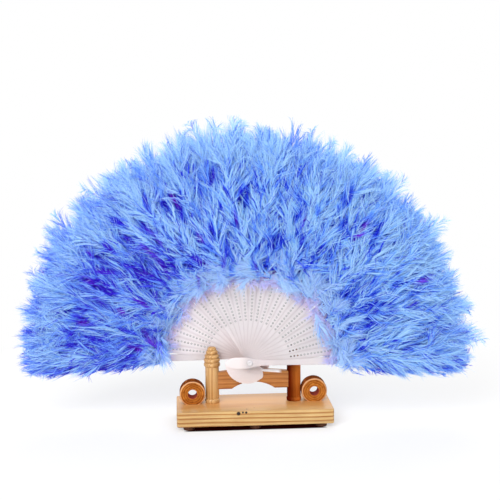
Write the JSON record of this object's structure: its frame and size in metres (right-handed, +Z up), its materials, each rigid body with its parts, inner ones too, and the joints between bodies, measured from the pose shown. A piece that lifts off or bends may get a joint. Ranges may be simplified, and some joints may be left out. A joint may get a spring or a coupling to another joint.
{
  "type": "feather fan on a stand",
  "caption": "Folding fan of soft blue feathers on pierced white sticks, open to a half circle and resting by its rivet on a small turned wooden display stand with two posts and two wheels.",
  "frame": {"origin": "on the surface that the feet rest on, under the rivet and the middle of the open fan", "axes": "+Z up, the fan spreads in the XZ plane with its front guard out along +X, and the front faces -Y"},
  "size_m": [0.5, 0.07, 0.3181],
  "materials": {
    "pine": "satin",
    "straw_wood": "satin",
    "dark_wood": "satin",
    "brown_wood": "satin",
    "rivet_metal": "satin",
    "white_plastic": "satin",
    "blue_feather": "matte"
  },
  "bodies": {
    "stand": {"base_board": "pine", "left_post": "straw_wood", "right_post": "dark_wood", "cross_rail": "brown_wood", "left_wheel": "brown_wood", "right_wheel": "brown_wood"},
    "rivet": {"pivot_rivet": "rivet_metal"},
    "leaf_00": {"front_guard": "white_plastic", "plume_00": "blue_feather"},
    "leaf_01": {"stick_01": "white_plastic", "plume_01": "blue_feather"},
    "leaf_02": {"stick_02": "white_plastic", "plume_02": "blue_feather"},
    "leaf_03": {"stick_03": "white_plastic", "plume_03": "blue_feather"},
    "leaf_04": {"stick_04": "white_plastic", "plume_04": "blue_feather"},
    "leaf_05": {"stick_05": "white_plastic", "plume_05": "blue_feather"},
    "leaf_06": {"stick_06": "white_plastic", "plume_06": "blue_feather"},
    "leaf_07": {"stick_07": "white_plastic", "plume_07": "blue_feather"},
    "leaf_08": {"stick_08": "white_plastic", "plume_08": "blue_feather"},
    "leaf_09": {"stick_09": "white_plastic", "plume_09": "blue_feather"},
    "leaf_10": {"stick_10": "white_plastic", "plume_10": "blue_feather"},
    "leaf_11": {"stick_11": "white_plastic", "plume_11": "blue_feather"},
    "leaf_12": {"stick_12": "white_plastic", "plume_12": "blue_feather"},
    "leaf_13": {"stick_13": "white_plastic", "plume_13": "blue_feather"},
    "leaf_14": {"stick_14": "white_plastic", "plume_14": "blue_feather"},
    "leaf_15": {"stick_15": "white_plastic", "plume_15": "blue_feather"},
    "leaf_16": {"stick_16": "white_plastic", "plume_16": "blue_feather"},
    "leaf_17": {"stick_17": "white_plastic", "plume_17": "blue_feather"},
    "leaf_18": {"stick_18": "white_plastic", "plume_18": "blue_feather"},
    "leaf_19": {"stick_19": "white_plastic", "plume_19": "blue_feather"},
    "leaf_20": {"stick_20": "white_plastic", "plume_20": "blue_feather"},
    "leaf_21": {"stick_21": "white_plastic", "plume_21": "blue_feather"},
    "leaf_22": {"stick_22": "white_plastic", "plume_22": "blue_feather"},
    "leaf_23": {"stick_23": "white_plastic", "plume_23": "blue_feather"},
    "leaf_24": {"stick_24": "white_plastic", "plume_24": "blue_feather"},
    "leaf_25": {"rear_guard": "white_plastic", "plume_25": "blue_feather"}
  },
  "joints": [
    {"name": "fan_lift", "type": "slide", "parent": "stand", "child": "rivet", "axis": [0, 0, 1], "range_m": [0, 0.1]},
    {"name": "fan_fold", "type": "hinge", "parent": "rivet", "child": "leaf_00", "pos_m": [0, -0.01625, 0.0685], "axis": [0, -1, 0], "range_deg": [0, 90], "deforming": ["plume_00"]},
    {"name": "fold_01", "type": "hinge", "parent": "rivet", "child": "leaf_01", "pos_m": [0, -0.01482, 0.0685], "axis": [0, -1, 0], "range_deg": [0, 82.81], "deforming": ["plume_01"]},
    {"name": "fold_02", "type": "hinge", "parent": "rivet", "child": "leaf_02", "pos_m": [0, -0.01388, 0.0685], "axis": [0, -1, 0], "range_deg": [0, 75.61], "deforming": ["plume_02"]},
    {"name": "fold_03", "type": "hinge", "parent": "rivet", "child": "leaf_03", "pos_m": [0, -0.01293, 0.0685], "axis": [0, -1, 0], "range_deg": [0, 68.41], "deforming": ["plume_03"]},
    {"name": "fold_04", "type": "hinge", "parent": "rivet", "child": "leaf_04", "pos_m": [0, -0.01197, 0.0685], "axis": [0, -1, 0], "range_deg": [0, 61.21], "deforming": ["plume_04"]},
    {"name": "fold_05", "type": "hinge", "parent": "rivet", "child": "leaf_05", "pos_m": [0, -0.01103, 0.0685], "axis": [0, -1, 0], "range_deg": [0, 54.01], "deforming": ["plume_05"]},
    {"name": "fold_06", "type": "hinge", "parent": "rivet", "child": "leaf_06", "pos_m": [0, -0.01008, 0.0685], "axis": [0, -1, 0], "range_deg": [0, 46.81], "deforming": ["plume_06"]},
    {"name": "fold_07", "type": "hinge", "parent": "rivet", "child": "leaf_07", "pos_m": [0, -0.00912, 0.0685], "axis": [0, -1, 0], "range_deg": [0, 39.61], "deforming": ["plume_07"]},
    {"name": "fold_08", "type": "hinge", "parent": "rivet", "child": "leaf_08", "pos_m": [0, -0.00817, 0.0685], "axis": [0, -1, 0], "range_deg": [0, 32.41], "deforming": ["plume_08"]},
    {"name": "fold_09", "type": "hinge", "parent": "rivet", "child": "leaf_09", "pos_m": [0, -0.00722, 0.0685], "axis": [0, -1, 0], "range_deg": [0, 25.21], "deforming": ["plume_09"]},
    {"name": "fold_10", "type": "hinge", "parent": "rivet", "child": "leaf_10", "pos_m": [0, -0.00628, 0.0685], "axis": [0, -1, 0], "range_deg": [0, 18.01], "deforming": ["plume_10"]},
    {"name": "fold_11", "type": "hinge", "parent": "rivet", "child": "leaf_11", "pos_m": [0, -0.00532, 0.0685], "axis": [0, -1, 0], "range_deg": [0, 10.81], "deforming": ["plume_11"]},
    {"name": "fold_12", "type": "hinge", "parent": "rivet", "child": "leaf_12", "pos_m": [0, -0.00438, 0.0685], "axis": [0, -1, 0], "range_deg": [0, 3.61], "deforming": ["plume_12"]},
    {"name": "fold_13", "type": "hinge", "parent": "rivet", "child": "leaf_13", "pos_m": [0, -0.00343, 0.0685], "axis": [0, -1, 0], "range_deg": [-3.61, 0], "deforming": ["plume_13"]},
    {"name": "fold_14", "type": "hinge", "parent": "rivet", "child": "leaf_14", "pos_m": [0, -0.00248, 0.0685], "axis": [0, -1, 0], "range_deg": [-10.81, 0], "deforming": ["plume_14"]},
    {"name": "fold_15", "type": "hinge", "parent": "rivet", "child": "leaf_15", "pos_m": [0, -0.00153, 0.0685], "axis": [0, -1, 0], "range_deg": [-18.01, 0], "deforming": ["plume_15"]},
    {"name": "fold_16", "type": "hinge", "parent": "rivet", "child": "leaf_16", "pos_m": [0, -0.00057, 0.0685], "axis": [0, -1, 0], "range_deg": [-25.21, 0], "deforming": ["plume_16"]},
    {"name": "fold_17", "type": "hinge", "parent": "rivet", "child": "leaf_17", "pos_m": [0, 0.00038, 0.0685], "axis": [0, -1, 0], "range_deg": [-32.41, 0], "deforming": ["plume_17"]},
    {"name": "fold_18", "type": "hinge", "parent": "rivet", "child": "leaf_18", "pos_m": [0, 0.00962, 0.0685], "axis": [0, -1, 0], "range_deg": [-39.61, 0], "deforming": ["plume_18"]},
    {"name": "fold_19", "type": "hinge", "parent": "rivet", "child": "leaf_19", "pos_m": [0, 0.01057, 0.0685], "axis": [0, -1, 0], "range_deg": [-46.81, 0], "deforming": ["plume_19"]},
    {"name": "fold_20", "type": "hinge", "parent": "rivet", "child": "leaf_20", "pos_m": [0, 0.01153, 0.0685], "axis": [0, -1, 0], "range_deg": [-54.01, 0], "deforming": ["plume_20"]},
    {"name": "fold_21", "type": "hinge", "parent": "rivet", "child": "leaf_21", "pos_m": [0, 0.01247, 0.0685], "axis": [0, -1, 0], "range_deg": [-61.21, 0], "deforming": ["plume_21"]},
    {"name": "fold_22", "type": "hinge", "parent": "rivet", "child": "leaf_22", "pos_m": [0, 0.01342, 0.0685], "axis": [0, -1, 0], "range_deg": [-68.41, 0], "deforming": ["plume_22"]},
    {"name": "fold_23", "type": "hinge", "parent": "rivet", "child": "leaf_23", "pos_m": [0, 0.01438, 0.0685], "axis": [0, -1, 0], "range_deg": [-75.61, 0], "deforming": ["plume_23"]},
    {"name": "fold_24", "type": "hinge", "parent": "rivet", "child": "leaf_24", "pos_m": [0, 0.01533, 0.0685], "axis": [0, -1, 0], "range_deg": [-82.81, 0], "deforming": ["plume_24"]},
    {"name": "fold_25", "type": "hinge", "parent": "rivet", "child": "leaf_25", "pos_m": [0, 0.01675, 0.0685], "axis": [0, -1, 0], "range_deg": [-90.01, 0], "deforming": ["plume_25"]}
  ],
  "couplings": [
    {"joint": "fold_01", "follows": "fan_fold", "ratio": 0.92},
    {"joint": "fold_02", "follows": "fan_fold", "ratio": 0.84},
    {"joint": "fold_03", "follows": "fan_fold", "ratio": 0.76},
    {"joint": "fold_04", "follows": "fan_fold", "ratio": 0.68},
    {"joint": "fold_05", "follows": "fan_fold", "ratio": 0.6},
    {"joint": "fold_06", "follows": "fan_fold", "ratio": 0.52},
    {"joint": "fold_07", "follows": "fan_fold", "ratio": 0.44},
    {"joint": "fold_08", "follows": "fan_fold", "ratio": 0.36},
    {"joint": "fold_09", "follows": "fan_fold", "ratio": 0.28},
    {"joint": "fold_10", "follows": "fan_fold", "ratio": 0.2},
    {"joint": "fold_11", "follows": "fan_fold", "ratio": 0.12},
    {"joint": "fold_12", "follows": "fan_fold", "ratio": 0.04},
    {"joint": "fold_13", "follows": "fan_fold", "ratio": -0.04},
    {"joint": "fold_14", "follows": "fan_fold", "ratio": -0.12},
    {"joint": "fold_15", "follows": "fan_fold", "ratio": -0.2},
    {"joint": "fold_16", "follows": "fan_fold", "ratio": -0.28},
    {"joint": "fold_17", "follows": "fan_fold", "ratio": -0.36},
    {"joint": "fold_18", "follows": "fan_fold", "ratio": -0.44},
    {"joint": "fold_19", "follows": "fan_fold", "ratio": -0.52},
    {"joint": "fold_20", "follows": "fan_fold", "ratio": -0.6},
    {"joint": "fold_21", "follows": "fan_fold", "ratio": -0.68},
    {"joint": "fold_22", "follows": "fan_fold", "ratio": -0.76},
    {"joint": "fold_23", "follows": "fan_fold", "ratio": -0.84},
    {"joint": "fold_24", "follows": "fan_fold", "ratio": -0.92},
    {"joint": "fold_25", "follows": "fan_fold", "ratio": -1}
  ]
}
